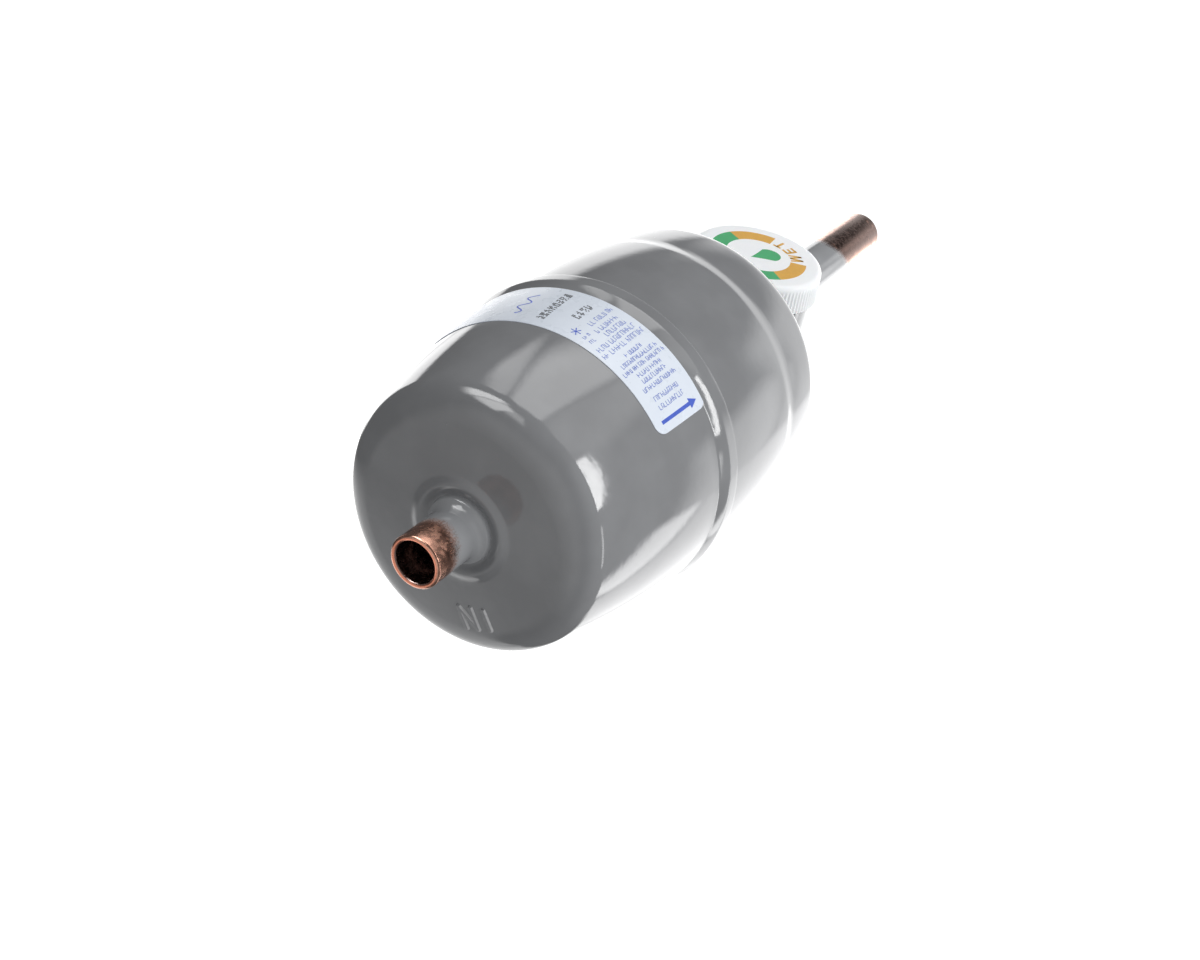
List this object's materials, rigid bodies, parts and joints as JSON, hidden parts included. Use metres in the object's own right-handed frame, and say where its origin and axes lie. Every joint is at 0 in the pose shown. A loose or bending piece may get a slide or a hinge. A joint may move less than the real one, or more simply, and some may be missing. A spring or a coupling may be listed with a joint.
{
  "type": "filter drier",
  "caption": "Barrel-shaped steel filter drier with copper solder stubs, a round sight glass body on its outlet side and a white push-on protective cap.",
  "frame": {"origin": "centre of the inlet stub's mouth, on the flow axis", "axes": "+X along the flow, from the inlet to the outlet; +Z along the sight glass's axis, towards the cap; the label's arrow end is on the -Y side"},
  "size_m": [0.2275, 0.0772, 0.0774],
  "materials": {
    "enamel": "gloss grey enamel",
    "copper": "bare copper, handled",
    "plated_steel": "zinc plated",
    "spring_steel": "rolled flat wire",
    "brass": "turned",
    "glass": "polished",
    "seal_rubber": "matt",
    "indicator_paper": "dyed paper",
    "cap_plastic": "moulded, satin",
    "desiccant": "moulded grains",
    "felt": "felt",
    "glass_fibre": "fibre mat",
    "screen_mesh": "woven wire",
    "label_film": "coated film with blue print"
  },
  "bodies": {
    "drier": {"inlet_shell": "enamel", "outlet_shell": "enamel", "seam_braze": "enamel", "inlet_fitting": "copper", "inlet_collar": "enamel", "outlet_nipple": "copper", "outlet_collar": "enamel", "sight_glass_body": "enamel", "nipple_braze": "enamel", "tube_braze": "enamel", "outlet_tube": "copper", "lens_seal": "seal_rubber", "sight_glass": "glass", "lens_ring": "plated_steel", "indicator_holder": "brass", "indicator_disc": "indicator_paper", "spring_holder": "plated_steel", "desiccant_core": "desiccant", "core_spring": "spring_steel", "core_gasket": "felt", "filter_pad": "glass_fibre", "outlet_plate": "plated_steel", "outlet_screen": "screen_mesh", "label": "label_film"},
    "cap": {"protective_cap": "cap_plastic"}
  },
  "joints": [
    {"name": "cap_pull", "type": "slide", "parent": "drier", "child": "cap", "axis": [0, 0, 1], "range_m": [0, 0.02]}
  ]
}
